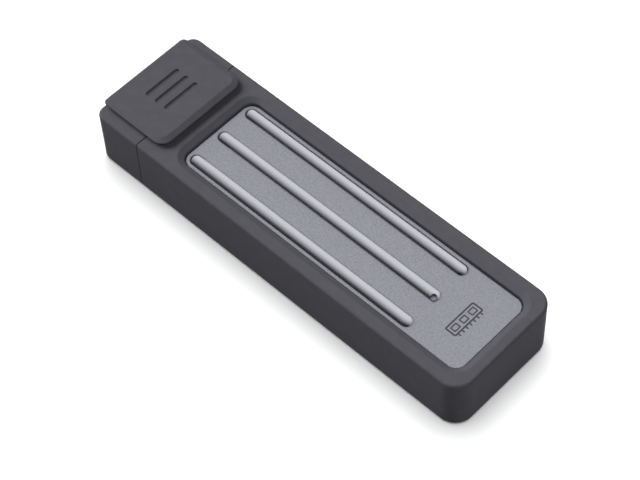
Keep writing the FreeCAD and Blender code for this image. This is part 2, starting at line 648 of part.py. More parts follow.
def make_upper_cover():
    body = new_body("upper_cover")
    outline = new_sketch(body, "cover_outline", offset="parting_height")
    drive_outline(outline)
    pad(body, outline, f"{DRIVE_TOP} - parting_height", "cover_block")

    plate = new_sketch(body, "plate_outline", offset=CEILING)
    corners = ("window_corner - plate_gap",) * 4
    rounded_rectangle(plate, PLATE_LEFT, PLATE_RIGHT, f"-{PLATE_SIDE}", PLATE_SIDE, corners)
    raised = pad(body, plate, "plate_thickness", "plate")
    rim = edges_at(raised.Shape, value(PLATE_TOP))
    dress(body, "Chamfer", raised, rim, "plate_edge", "plate_rim")

    rib_sketch = new_sketch(body, "rib_outline", offset=RIB_CENTRE)
    rib_sketch.setExpression("AttachmentOffset.Base.y", bound(RIB_FIRST))
    rib_profile(rib_sketch)
    rib = body.newObject("PartDesign::Revolution", "rib")
    rib.Profile = rib_sketch
    rib.ReferenceAxis = (rib_sketch, ["H_Axis"])
    rib.Angle = 180
    document.recompute()
    row_of(body, rib, "Y_Axis", RIB_SPAN, "rib_count", "ribs")

    room = new_sketch(body, "cover_room", offset="parting_height")
    inner_outline(room)
    pocket(body, room, f"{CEILING} - parting_height", "cover_hollow", upwards=True)

    bosses = new_sketch(body, "cover_bosses", offset=BOARD_TOP)
    for x, y in screw_places():
        circle(bosses, x, y, "screw_inset - boss_play")
    pad(body, bosses, f"{CEILING} - {BOARD_TOP}", "cover_boss_blocks")
    holes = new_sketch(body, "cover_screw_holes", offset=BOARD_TOP)
    for x, y in screw_places():
        circle(holes, x, y, "screw_radius")
    pocket(body, holes, "screw_reach", "cover_screw_hole_cuts", upwards=True)

    lamp = new_sketch(body, "lamp_hole_outline", offset="sleeve_height")
    circle(lamp, LAMP_X, LAMP_Y, "lamp_hole")
    pocket(body, lamp, f"plate_drop + plate_thickness + {OVERCUT}", "lamp_hole_cut")


# Tray: plastic, carries the board on four bosses

def make_lower_housing():
    body = new_body("lower_housing")
    outline = new_sketch(body, "tray_outline", offset=DRIVE_BOTTOM)
    drive_outline(outline)
    block = pad(body, outline, f"parting_height - {DRIVE_BOTTOM}", "tray_block")
    behind_front = value(DRIVE_FRONT) + value("front_corner") + SAME

    def away_from_front(box):
        return box.XMax > behind_front

    foot = edges_at(block.Shape, value(DRIVE_BOTTOM), away_from_front)
    dress(body, "Chamfer", block, foot, "tray_edge", "tray_foot")
    room = new_sketch(body, "tray_room", offset=INNER_FLOOR)
    inner_outline(room)
    pocket(body, room, f"parting_height - {INNER_FLOOR}", "tray_hollow", upwards=True)

    bosses = new_sketch(body, "tray_bosses", offset=f"{INNER_FLOOR} - tray_floor / 2")
    for x, y in screw_places():
        circle(bosses, x, y, "boss_radius")
    pad(body, bosses, f"{BOARD_BOTTOM} - {INNER_FLOOR} + tray_floor / 2", "tray_boss_blocks")
    shanks = new_sketch(body, "tray_screw_holes", offset=DRIVE_BOTTOM)
    heads = new_sketch(body, "tray_head_holes", offset=DRIVE_BOTTOM)
    for x, y in screw_places():
        circle(shanks, x, y, "screw_radius + screw_play")
        circle(heads, x, y, "screw_head + screw_play")
    pocket(body, shanks, f"{BOARD_BOTTOM} - {DRIVE_BOTTOM}", "tray_screw_hole_cuts", upwards=True)
    pocket(body, heads, "screw_head_height", "tray_head_hole_cuts", upwards=True)


def make_front_bezel():
    body = new_body("front_bezel")
    face = new_sketch(body, "bezel_outline", "YZ_Plane", offset=DRIVE_FRONT)
    side = f"({INNER_SIDE} - bezel_gap)"
    rectangle(face, f"-{side}", side, INNER_FLOOR, CEILING)
    pad(body, face, "bezel_thickness", "bezel_plate")
    opening = new_sketch(body, "bezel_opening", "YZ_Plane", offset=f"{DRIVE_FRONT} + bezel_thickness")
    slot_outline(opening, "0", "plug_axis_height", "plug_width", "plug_height")
    pocket(body, opening, "bezel_thickness", "bezel_opening_cut")


def make_cover_screws():
    body = new_body("cover_screws")
    seat = f"({DRIVE_BOTTOM} + screw_head_height)"
    profile = new_sketch(body, "screw_profile", "XZ_Plane")
    profile.setExpression("AttachmentOffset.Base.x", bound(SCREW_FRONT_X))
    profile.setExpression("AttachmentOffset.Base.z", bound(SCREW_SIDE))
    end = f"({BOARD_TOP} + screw_reach)"
    polygon(profile, [
        ("0", DRIVE_BOTTOM), ("screw_head", DRIVE_BOTTOM), ("screw_head", seat),
        ("screw_radius", seat), ("screw_radius", end), ("0", end),
    ])
    screw = body.newObject("PartDesign::Revolution", "screw")
    screw.Profile = profile
    screw.ReferenceAxis = (profile, ["V_Axis"])
    screw.Angle = 360
    document.recompute()
    recess = new_sketch(body, "screw_recess", offset=DRIVE_BOTTOM)
    recess.setExpression("AttachmentOffset.Base.x", bound(SCREW_FRONT_X))
    recess.setExpression("AttachmentOffset.Base.y", bound(f"-{SCREW_SIDE}"))
    arm, half = "(screw_slot_length / 2)", "(screw_slot_width / 2)"
    polygon(recess, [
        (f"-{half}", f"-{arm}"), (half, f"-{arm}"), (half, f"-{half}"), (arm, f"-{half}"),
        (arm, half), (half, half), (half, arm), (f"-{half}", arm),
        (f"-{half}", half), (f"-{arm}", half), (f"-{arm}", f"-{half}"), (f"-{half}", f"-{half}"),
    ])
    cross = pocket(body, recess, "screw_slot_depth", "screw_recess_cut", upwards=True)
    rows = body.newObject("PartDesign::MultiTransform", "screws")
    along = body.newObject("PartDesign::LinearPattern", "screws_along")
    along.Direction = (origin_part(body, "X_Axis"), [""])
    along.setExpression("Length", bound(f"{SCREW_BACK_X} - {SCREW_FRONT_X}"))
    along.Occurrences = 2
    across = body.newObject("PartDesign::LinearPattern", "screws_across")
    across.Direction = (origin_part(body, "Y_Axis"), [""])
    across.setExpression("Length", bound(f"2 * {SCREW_SIDE}"))
    across.Occurrences = 2
    rows.Originals = [screw, cross]
    rows.Transformations = [along, across]
    body.Tip = rows
    document.recompute()


# Plug: drawn shell, insulator, two rows of contacts and a latch plate

def make_plug_shell():
    body = new_body("plug_shell")
    outside = new_sketch(body, "shell_outside", "YZ_Plane", offset=PLUG_TIP)
    slot_outline(outside, "0", "plug_axis_height", "plug_width", "plug_height")
    length = "(plug_reach + plug_inside)"
    tube = pad(body, outside, length, "shell_block")
    tip = value(PLUG_TIP)
    names = []
    for index, edge in enumerate(tube.Shape.Edges, start=1):
        if edge.BoundBox.XMax < tip + SAME:
            names.append(f"Edge{index}")
    dress(body, "Chamfer", tube, names, "plug_lead_in", "shell_mouth")
    inside = new_sketch(body, "shell_inside", "YZ_Plane", offset=PLUG_BACK)
    slot_outline(inside, "0", "plug_axis_height", SHELL_WIDTH_IN, SHELL_HEIGHT_IN)
    pocket(body, inside, length, "shell_hollow")


def make_plug_insulator():
    body = new_body("plug_insulator")
    outside = new_sketch(body, "insulator_outside", "YZ_Plane", offset=INSULATOR_MOUTH)
    slot_outline(outside, "0", "plug_axis_height", SHELL_WIDTH_IN, SHELL_HEIGHT_IN)
    pad(body, outside, f"{PLUG_BACK} - {INSULATOR_MOUTH}", "insulator_block")
    slot = new_sketch(body, "tongue_slot", "YZ_Plane", offset=SLOT_END)
    half = "(tongue_slot_width / 2)"
    height = f"({SLOT_HEIGHT} / 2)"
    rectangle(slot, f"-{half}", half, f"plug_axis_height - {height}", f"plug_axis_height + {height}")
    pocket(body, slot, "tongue_slot_depth", "tongue_slot_cut")
    channels = new_sketch(body, "contact_channels", "YZ_Plane", offset=PLUG_BACK)
    row_half = "(contact_pitch * contact_count / 2)"
    rectangle(channels, f"-{row_half}", row_half, BOARD_TOP, f"{BOARD_TOP} + contact_thickness")
    rectangle(channels, f"-{row_half}", row_half, f"{BOARD_BOTTOM} - contact_thickness", BOARD_BOTTOM)
    pocket(body, channels, f"{PLUG_BACK} - {SLOT_END}", "contact_channel_cuts")
    room = new_sketch(body, "latch_room", offset="plug_axis_height - latch_thickness / 2")
    rectangle(room, f"{INSULATOR_MOUTH} - {OVERCUT}", PLUG_BACK, f"-{LATCH_SIDE}", LATCH_SIDE)
    pocket(body, room, "latch_thickness", "latch_room_cut", upwards=True)


def make_plug_latch():
    body = new_body("plug_latch")
    plate = new_sketch(body, "latch_outline", offset="plug_axis_height - latch_thickness / 2")
    inner = f"({LATCH_SIDE} - latch_arm)"
    hook = f"({inner} - latch_hook)"
    tip = f"({INSULATOR_MOUTH} + latch_setback)"
    hook_end = f"({tip} + latch_hook_length)"
    half = [(PLUG_BACK, LATCH_SIDE), (tip, LATCH_SIDE), (tip, hook), (hook_end, inner), (SLOT_END, inner)]
    mirrored = [(x, f"-{y}") for x, y in reversed(half)]
    polygon(plate, half + mirrored)
    pad(body, plate, "latch_thickness", "latch_plate")


def make_plug_contacts():
    body = new_body("plug_contacts")
    first = "(contact_pitch * (contact_count - 1) / 2 + contact_width / 2)"
    side = new_sketch(body, "contact_profile", "XZ_Plane", offset=f"{first} - contact_width")
    tip = f"({INSULATOR_MOUTH} + contact_setback)"
    tail = f"({BOARD_FRONT} + tail_reach)"
    bump_x = f"({tip} + bump_length / 2)"
    for face, sign in ((BOARD_TOP, "+"), (BOARD_BOTTOM, "-")):
        back = f"{face} {sign} contact_thickness"
        touch = f"{face} {'-' if sign == '+' else '+'} contact_bump"
        polygon(side, [
            (tip, back), (tip, face), (bump_x, touch),
            (f"{tip} + bump_length", face), (tail, face), (tail, back),
        ])
    contact = pad(body, side, "contact_width", "contact_pair")
    row_of(body, contact, "Y_Axis", "contact_pitch * (contact_count - 1)", "contact_count", "contact_rows")


# Board and what is soldered to it

def make_circuit_board():
    body = new_body("circuit_board")
    outline = new_sketch(body, "board_outline", offset=BOARD_BOTTOM)
    corners = ("board_corner",) * 4
    rounded_rectangle(outline, BOARD_FRONT, BOARD_BACK, f"-{BOARD_SIDE}", BOARD_SIDE, corners)
    pad(body, outline, "board_thickness", "board")
    holes = new_sketch(body, "board_holes", offset=BOARD_TOP)
    for x, y in screw_places():
        circle(holes, x, y, "screw_radius + screw_play")
    pocket(body, holes, "board_thickness", "board_hole_cuts")


def make_block(label, middle_x, middle_y, base, length, width, height, chamfer=None):
    """Moulded part standing on the board."""
    body = new_body(label)
    outline = new_sketch(body, f"{label}_outline", offset=base)
    left, right = f"{middle_x} - {length} / 2", f"{middle_x} + {length} / 2"
    low, high = f"{middle_y} - {width} / 2", f"{middle_y} + {width} / 2"
    rectangle(outline, left, right, low, high)
    block = pad(body, outline, height, f"{label}_block")
    if chamfer:
        rim = edges_at(block.Shape, value(f"{base} + {height}"))
        block = dress(body, "Chamfer", block, rim, chamfer, f"{label}_rim")
    return body, block


def make_board_parts():
    make_block("controller_chip", CONTROLLER_X, "0", BOARD_TOP,
               "controller_side", "controller_side", "controller_height", "chip_chamfer")
    for number in range(int(value("memory_count"))):
        middle = f"({MEMORY_START} + memory_length / 2 + {MEMORY_PITCH} * {number})"
        make_block(f"memory_chip_{number + 1}", middle, "0", BOARD_TOP,
                   "memory_length", "memory_width", "memory_height", "chip_chamfer")
    make_block("power_chip", POWER_X, "power_offset", BOARD_TOP,
               "power_side", "power_side", "power_height", "chip_chamfer")
    make_block("power_inductor", POWER_X, "inductor_offset", BOARD_TOP,
               "inductor_side", "inductor_side", "inductor_height", "chip_chamfer")
    make_block("clock_crystal", FRONT_ROW_X, CRYSTAL_Y, BOARD_TOP,
               "crystal_length", "crystal_width", "crystal_height", "chip_chamfer")
    make_block("activity_lamp", LAMP_X, LAMP_Y, BOARD_TOP, "lamp_length", "lamp_width", "lamp_height")
    rows = (
        ("capacitors", "capacitor", FRONT_ROW_X, CAPACITOR_FIRST, CAPACITOR_LAST),
        ("resistors", "resistor", LAMP_X, "resistor_first", RESISTOR_LAST),
    )
    for label, name, middle, first, last in rows:
        body, block = make_block(label, middle, first, BOARD_TOP,
                                 f"{name}_length", f"{name}_width", f"{name}_height")
        row_of(body, block, "Y_Axis", f"{last} - {first}", f"{name}_count", f"{label}_row")


def make_thermal_pads():
    """Soft pads that fill the height between the chips and the cover."""
    chip_top = f"({BOARD_TOP} + controller_height)"
    size = "(controller_side - 2 * pad_margin)"
    make_block("controller_thermal_pad", CONTROLLER_X, "0", chip_top,
               size, size, f"({CEILING} - {chip_top})")
    memory_top = f"({BOARD_TOP} + memory_height)"
    span = f"({MEMORY_PITCH} * (memory_count - 1) + memory_length)"
    make_block("memory_thermal_pad", f"({MEMORY_START} + {span} / 2)", "0", memory_top,
               f"({span} - 2 * pad_margin)", "(memory_width - 2 * pad_margin)", f"({CEILING} - {memory_top})")


def make_light_pipe():
    body = new_body("light_pipe")
    profile = new_sketch(body, "pipe_profile", "XZ_Plane")
    profile.setExpression("AttachmentOffset.Base.x", bound(LAMP_X))
    profile.setExpression("AttachmentOffset.Base.z", bound("lamp_offset"))
    foot = f"({BOARD_TOP} + lamp_height + pipe_air)"
    pin = "(lamp_hole - pipe_play)"
    top = "(sleeve_height - pipe_top_drop)"
    polygon(profile, [
        ("0", foot), ("pipe_foot", foot), ("pipe_foot", CEILING), (pin, CEILING), (pin, top), ("0", top),
    ])
    pipe = body.newObject("PartDesign::Revolution", "pipe")
    pipe.Profile = profile
    pipe.ReferenceAxis = (profile, ["V_Axis"])
    pipe.Angle = 360
    document.recompute()


def check_document():
    """Every object is sound and every piece is a valid shape."""
    document.recompute()
    for item in document.Objects:
        if {"Invalid", "Error"} & set(item.State):
            raise RuntimeError(f"{item.Label} failed: {item.State}")
    for body in bodies:
        if body.Shape.isNull() or not body.Shape.isValid() or not body.Shape.Solids:
            raise RuntimeError(f"{body.Label} has no valid shape")


def export_pieces():
    os.makedirs("parts", exist_ok=True)
    for body in bodies:
        body.Shape.exportStep(f"parts/{body.Label}.step")


make_sleeve()
make_cap()
make_upper_cover()
make_lower_housing()
make_front_bezel()
make_cover_screws()
make_plug_shell()
make_plug_insulator()
make_plug_latch()
make_plug_contacts()
make_circuit_board()
make_board_parts()
make_thermal_pads()
make_light_pipe()
check_document()
export_pieces()
for made in bodies:
    print(made.Label, len(made.Shape.Solids), round(made.Shape.Volume, 3), made.Shape.BoundBox)
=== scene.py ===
# Stick-shaped solid state drive: finish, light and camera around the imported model.
#
# Lengths are in metres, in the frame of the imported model; MM turns millimetres into metres.
import bmesh
import bpy
import math
from mathutils import Matrix, Vector


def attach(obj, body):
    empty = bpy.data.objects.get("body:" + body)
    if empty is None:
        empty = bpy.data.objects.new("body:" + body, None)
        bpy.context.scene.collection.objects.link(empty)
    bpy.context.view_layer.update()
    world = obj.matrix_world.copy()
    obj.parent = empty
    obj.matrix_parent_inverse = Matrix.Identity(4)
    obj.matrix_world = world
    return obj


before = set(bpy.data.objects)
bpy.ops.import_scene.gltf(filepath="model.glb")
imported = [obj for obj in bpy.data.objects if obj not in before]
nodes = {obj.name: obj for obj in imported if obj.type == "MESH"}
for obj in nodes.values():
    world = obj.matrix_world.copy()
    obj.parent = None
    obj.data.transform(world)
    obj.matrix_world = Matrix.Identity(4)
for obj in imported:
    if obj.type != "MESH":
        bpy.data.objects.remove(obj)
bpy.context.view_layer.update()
MM = 0.001

# Camera, at the photograph's viewing angle; azimuth counts from -Y towards +X
CAMERA_TARGET = Vector((2.236, -1.969, 5.0)) * MM
CAMERA_DISTANCE = 282.37 * MM
CAMERA_AZIMUTH = math.radians(46.04)
CAMERA_ELEVATION = math.radians(55.15)
CAMERA_ROLL = math.radians(-3.09)
CAMERA_LENS = 112.99
CAMERA_CLIP = 0.01
SENSOR_WIDTH = 36.0

# Lamps: name, azimuth from +X towards +Y, elevation, angle across, all in degrees, and strength
PART_LAMPS = (
    ("cap_side", 192, 40, 46, 4.0),
    ("far_end", 0, 42, 60, 1.05),
)
FLOOR_LAMPS = (
    ("floor_overhead", 146, 77, 56, 3.9),
)

# Floor: its colour where it lights the part, its colour where it is seen, and a glow seen only
FLOOR_BOUNCE = (0.19, 0.19, 0.19, 1.0)
FLOOR_SEEN = (0.92, 0.92, 0.92, 1.0)
FLOOR_LIFT = 0.12
FLOOR_SIZE = 3.0

# World: a dim light from all round
AMBIENT = (0.95, 0.97, 1.0, 1.0)
AMBIENT_STRENGTH = 0.12

# World as metal and glass show it: a band at the horizon that is white up to BAND_WHITE and gone
# by BAND_GONE, both in degrees, and a sky that grows brighter the more it lies towards SKY_TOWARDS
BACKGROUND = (1.0, 1.0, 1.0, 1.0)
BAND_WHITE = 1.0
BAND_GONE = 7.0
SKY_TOWARDS = (-0.2, 0.8, 0.57)
SKY_FACING = (-0.36, 0.88)
SKY_BRIGHTNESS = (0.0, 1.0)

# Sockets of a mix node in colour mode, whose names are shared with its number and vector sockets
MIX_COLOUR_A = 6
MIX_COLOUR_B = 7
MIX_COLOUR_RESULT = 2

# Part of a noise's range over which a finish changes, and its detail where the finish is mottled
NOISE_LOW = 0.3
NOISE_HIGH = 0.7
MOTTLE_DETAIL = 3.0

# Samples by which an edge looks rounded
EDGE_SAMPLES = 6

# Rubber of the sleeve and cap
RUBBER_LOW = (0.083, 0.082, 0.0935)
RUBBER_HIGH = (0.092, 0.091, 0.103)
RUBBER_ROUGHNESS = (0.58, 0.64)
RUBBER_SHEEN = 0.03
RUBBER_IOR = 1.45
RUBBER_MOTTLE = 1.6 * MM
RUBBER_GRAIN = 0.10 * MM
RUBBER_GRAIN_DEPTH = 0.006 * MM
RUBBER_GRAIN_STRENGTH = 0.6
RUBBER_EDGE = 0.2 * MM

# Metal cover; pairs are the plate's value, then the ribs'. The ribs' finish begins at the
# height RIB_STARTS and is all there is from RIB_ALONE up
PLATE_LOW = (0.268, 0.273, 0.308)
PLATE_HIGH = (0.425, 0.431, 0.478)
RIB_LOW = (0.545, 0.548, 0.60)
RIB_HIGH = (0.635, 0.638, 0.693)
COVER_ROUGHNESS = (0.5, 0.27)
COVER_METALLIC = (0.8, 1.0)
COVER_GRAIN = 0.22 * MM
COVER_GRAIN_DETAIL = 4.0
COVER_GRAIN_ROUGHNESS = 0.72
COVER_GRAIN_DEPTH = 0.008 * MM
COVER_GRAIN_STRENGTH = 0.5
COVER_EDGE = 0.03 * MM
PLATE_TOP = 8.85 * MM
RIB_STARTS = PLATE_TOP + 0.002 * MM
RIB_ALONE = PLATE_TOP + 0.03 * MM

# Light pipe
PIPE_LOW = (0.20, 0.205, 0.22)
PIPE_HIGH = (0.26, 0.265, 0.28)
PIPE_ROUGHNESS = 0.25
PIPE_IOR = 1.49
PIPE_TRANSMISSION = 0.3
PIPE_FROST = 0.15 * MM

# Finishes of the pieces inside: pieces, material, two colours, roughness, then where they differ
# from plain plastic, metallic, grain and grain depth in mm
PLAIN_GRAIN_STRENGTH = 0.5
INNER_FINISHES = (
    (("lower_housing", "front_bezel"),
     "housing_plastic", (0.026, 0.026, 0.03), (0.034, 0.034, 0.038), 0.5),
    (("plug_shell", "plug_latch"),
     "plug_steel", (0.56, 0.56, 0.57), (0.64, 0.64, 0.65), 0.28, 1.0, 0.4, 0.002),
    (("cover_screws",),
     "screw_steel", (0.4, 0.4, 0.41), (0.5, 0.5, 0.51), 0.35, 1.0, 0.3, 0.002),
    (("plug_insulator",),
     "insulator_plastic", (0.034, 0.034, 0.038), (0.046, 0.046, 0.05), 0.45),
    (("plug_contacts",),
     "contact_metal", (0.78, 0.58, 0.25), (0.88, 0.69, 0.34), 0.25, 1.0, 0.2, 0.001),
    (("circuit_board",),
     "board_laminate", (0.02, 0.1, 0.055), (0.03, 0.14, 0.08), 0.35, 0.0, 0.8, 0.004),
    (("controller_chip", "memory_chip_1", "memory_chip_2", "power_chip", "resistors"),
     "chip_plastic", (0.04, 0.04, 0.044), (0.055, 0.055, 0.06), 0.55, 0.0, 0.12),
    (("power_inductor",),
     "inductor_ferrite", (0.12, 0.12, 0.125), (0.16, 0.16, 0.17), 0.6, 0.0, 0.1),
    (("clock_crystal",),
     "crystal_metal", (0.66, 0.66, 0.63), (0.74, 0.74, 0.71), 0.3, 1.0),
    (("capacitors",),
     "capacitor_ceramic", (0.5, 0.38, 0.25), (0.6, 0.46, 0.31), 0.45),
    (("activity_lamp",),
     "lamp_plastic", (0.82, 0.83, 0.77), (0.88, 0.89, 0.83), 0.2),
    (("controller_thermal_pad", "memory_thermal_pad"),
     "thermal_rubber", (0.42, 0.47, 0.55), (0.48, 0.53, 0.61), 0.8, 0.0, 0.5),
)

# Printed mark on the plate: a board's outline, three chips on it and a row of pins along it
MARK_CENTRE = (27.4 * MM, -0.2 * MM)
MARK_HALF = (1.0 * MM, 2.9 * MM)
MARK_RADIUS = 0.3 * MM
MARK_LINE = 0.25 * MM
MARK_CHIPS = (-1, 0, 1)
MARK_CHIP_HALF = (0.5 * MM, 0.62 * MM)
MARK_CHIP_PITCH = 1.75 * MM
MARK_CHIP_RADIUS = MARK_RADIUS / 2
MARK_CHIP_LINE = MARK_LINE * 0.8
MARK_PINS = 7
MARK_PIN_HALF = (0.22 * MM, 0.11 * MM)
MARK_PIN_PITCH = 0.75 * MM
MARK_PIN_RADIUS = MARK_LINE / 4
MARK_THICKNESS = 0.008 * MM
MARK_INK = ("mark_ink", (0.040, 0.041, 0.048), (0.052, 0.053, 0.061), 0.6)
CORNER_STEPS = 5

# Least radius of a frame's inner corners, as a share of the outer ones'
LEAST_INNER_RADIUS = 0.3


# Short calls for node trees

def clear_nodes(owner):
    """Empty node tree of a material or world."""
    owner.use_nodes = True
    tree = owner.node_tree
    tree.nodes.clear()
    return tree


def math_node(tree, operation, first, second):
    """Result of an operation on a socket and either a second socket or a number."""
    node = tree.nodes.new("ShaderNodeMath")
    node.operation = operation
    tree.links.new(first, node.inputs[0])
    if isinstance(second, bpy.types.NodeSocket):
        tree.links.new(second, node.inputs[1])
    else:
        node.inputs[1].default_value = second
    return node.outputs[0]


def map_range(tree, value, given, wanted, interpolation="LINEAR"):
    """Value that goes over the wanted pair as the value put in goes over the given pair."""
    node = tree.nodes.new("ShaderNodeMapRange")
    node.interpolation_type = interpolation
    for side, pair in (("From", given), ("To", wanted)):
        for end, number in zip(("Min", "Max"), pair):
            node.inputs[f"{side} {end}"].default_value = number
    tree.links.new(value, node.inputs["Value"])
    return node.outputs["Result"]


def mixed_colour(tree, factor):
    """Colour mix node that goes from its colour A to its colour B with a factor."""
    node = tree.nodes.new("ShaderNodeMix")
    node.data_type = "RGBA"
    tree.links.new(factor, node.inputs["Factor"])
    return node


class Shader:
    """A material's node tree with short calls for the nodes that these finishes use."""

    def __init__(self, name):
        self.material = bpy.data.materials.new(name)
        self.tree = clear_nodes(self.material)
        self.surface = self.add("ShaderNodeBsdfPrincipled")
        output = self.add("ShaderNodeOutputMaterial")
        self.link(self.surface.outputs["BSDF"], output.inputs["Surface"])
        self.place = self.add("ShaderNodeTexCoord").outputs["Object"]

    def add(self, kind):
        return self.tree.nodes.new(kind)

    def link(self, source, target):
        self.tree.links.new(source, target)

    def set(self, **values):
        """Fixed values on the shader's own sockets; an underscore stands for a space."""
        for name, number in values.items():
            self.surface.inputs[name.replace("_", " ")].default_value = number

    def vary(self, name, source):
        """Links a value that changes over the surface to one of the shader's own sockets."""
        self.link(source, self.surface.inputs[name])

    def noise(self, grain, detail=2.0, roughness=0.5):
        """Noise whose features are about `grain` metres across."""
        mapping = self.add("ShaderNodeMapping")
        mapping.inputs["Scale"].default_value = Vector((1, 1, 1)) / grain
        self.link(self.place, mapping.inputs["Vector"])
        node = self.add("ShaderNodeTexNoise")
        node.inputs["Scale"].default_value = 1.0
        node.inputs["Detail"].default_value = detail
        node.inputs["Roughness"].default_value = roughness
        self.link(mapping.outputs["Vector"], node.inputs["Vector"])
        return node.outputs["Fac"]

    def between(self, noise, low_colour, high_colour):
        """Colour that goes from one to the other as a noise rises."""
        ramp = self.add("ShaderNodeValToRGB")
        low, high = ramp.color_ramp.elements
        low.position = NOISE_LOW
        low.color = (*low_colour, 1)
        high.position = NOISE_HIGH
        high.color = (*high_colour, 1)
        self.link(noise, ramp.inputs["Fac"])
        return ramp.outputs["Color"]

    def height_along_z(self):
        split = self.add("ShaderNodeSeparateXYZ")
        self.link(self.place, split.inputs["Vector"])
        return split.outputs["Z"]

    def bump(self, height, distance, strength, normal=None):
        node = self.add("ShaderNodeBump")
        node.inputs["Distance"].default_value = distance
        node.inputs["Strength"].default_value = strength
        self.link(height, node.inputs["Height"])
        if normal is not None:
            self.link(normal, node.inputs["Normal"])
        return node.outputs["Normal"]

    def soft_edges(self, radius):
        node = self.add("ShaderNodeBevel")
        node.samples = EDGE_SAMPLES
        node.inputs["Radius"].default_value = radius
        return node.outputs["Normal"]


# Finishes

def moulded_rubber():
    """Soft-touch rubber: dark, with very little sheen and a fine moulded texture."""
    shader = Shader("sleeve_rubber")
    shader.set(IOR=RUBBER_IOR, Specular_IOR_Level=RUBBER_SHEEN)
    mottle = shader.noise(RUBBER_MOTTLE, detail=MOTTLE_DETAIL)
    shader.vary("Base Color", shader.between(mottle, RUBBER_LOW, RUBBER_HIGH))
    grain = shader.noise(RUBBER_GRAIN)
    edges = shader.soft_edges(RUBBER_EDGE)
    shader.vary("Normal", shader.bump(grain, RUBBER_GRAIN_DEPTH, RUBBER_GRAIN_STRENGTH, edges))
    roughness = map_range(shader.tree, mottle, (NOISE_LOW, NOISE_HIGH), RUBBER_ROUGHNESS)
    shader.vary("Roughness", roughness)
    return shader.material


def blasted_aluminium():
    """Grey anodised aluminium: a bead-blasted plate with fine grain, and brighter, smoother ribs."""
    shader = Shader("cover_metal")
    tree = shader.tree
    grain = shader.noise(COVER_GRAIN, COVER_GRAIN_DETAIL, COVER_GRAIN_ROUGHNESS)
    on_rib = map_range(tree, shader.height_along_z(), (RIB_STARTS, RIB_ALONE), (0.0, 1.0))
    mix = mixed_colour(tree, on_rib)
    shader.link(shader.between(grain, PLATE_LOW, PLATE_HIGH), mix.inputs[MIX_COLOUR_A])
    shader.link(shader.between(grain, RIB_LOW, RIB_HIGH), mix.inputs[MIX_COLOUR_B])
    shader.vary("Base Color", mix.outputs[MIX_COLOUR_RESULT])
    shader.vary("Roughness", map_range(tree, on_rib, (0.0, 1.0), COVER_ROUGHNESS))
    shader.vary("Metallic", map_range(tree, on_rib, (0.0, 1.0), COVER_METALLIC))
    edges = shader.soft_edges(COVER_EDGE)
    shader.vary("Normal", shader.bump(grain, COVER_GRAIN_DEPTH, COVER_GRAIN_STRENGTH, edges))
    return shader.material


def clear_plastic():
    """Smoky, slightly frosted plastic that lets little light through."""
    shader = Shader("clear_plastic")
    shader.set(Roughness=PIPE_ROUGHNESS, IOR=PIPE_IOR, Transmission_Weight=PIPE_TRANSMISSION)
    shader.vary("Base Color", shader.between(shader.noise(PIPE_FROST), PIPE_LOW, PIPE_HIGH))
    return shader.material


def plain_finish(name, low, high, roughness, metallic=0.0, grain=0.2, depth=0.004):
    """Slightly mottled colour with a fine grain, whose size and depth are in millimetres."""
    shader = Shader(name)
    shader.set(Metallic=metallic, Roughness=roughness)
    mottle = shader.noise(grain * MM, detail=MOTTLE_DETAIL)
    shader.vary("Base Color", shader.between(mottle, low, high))
    shader.vary("Normal", shader.bump(mottle, depth * MM, PLAIN_GRAIN_STRENGTH))
    return shader.material


def finish_nodes(names, material):
    for name in names:
        for slot in nodes[name].material_slots:
            slot.material = material


def finish_all_nodes():
    finish_nodes(("sleeve", "cap"), moulded_rubber())
    finish_nodes(("upper_cover",), blasted_aluminium())
    finish_nodes(("light_pipe",), clear_plastic())
    for names, *finish in INNER_FINISHES:
        finish_nodes(names, plain_finish(*finish))


# Printed mark

def rounded_loop(mesh, half_x, half_y, radius, height):
    """New vertices round a rectangle with rounded corners, whose centre is the origin."""
    points = []
    for quarter in range(4):
        start = quarter * math.pi / 2
        middle = start + math.pi / 4
        centre_x = math.copysign(half_x - radius, math.cos(middle))
        centre_y = math.copysign(half_y - radius, math.sin(middle))
        for step in range(CORNER_STEPS + 1):
            angle = start + step / CORNER_STEPS * math.pi / 2
            x = centre_x + radius * math.cos(angle)
            y = centre_y + radius * math.sin(angle)
            points.append(mesh.verts.new((x, y, height)))
    return points


def wall_between(mesh, first, second):
    """Faces all round between two loops of as many vertices."""
    count = len(first)
    for index in range(count):
        after = (index + 1) % count
        mesh.faces.new((first[index], first[after], second[after], second[index]))


def print_patch(mesh, centre, half_x, half_y, radius, line=None):
    """Print on the plate: a frame as thick as its line, or a filled patch if no line is given."""
    low = PLATE_TOP
    high = PLATE_TOP + MARK_THICKNESS
    loops = [rounded_loop(mesh, half_x, half_y, radius, height) for height in (low, high)]
    wall_between(mesh, loops[0], loops[1])
    if line is None:
        mesh.faces.new(loops[1])
        mesh.faces.new(list(reversed(loops[0])))
    else:
        inner = max(radius - line, LEAST_INNER_RADIUS * radius)
        for height in (high, low):
            loops.append(rounded_loop(mesh, half_x - line, half_y - line, inner, height))
        wall_between(mesh, loops[1], loops[2])
        wall_between(mesh, loops[2], loops[3])
        wall_between(mesh, loops[3], loops[0])
    for loop in loops:
        for vertex in loop:
            vertex.co.x += centre[0]
            vertex.co.y += centre[1]


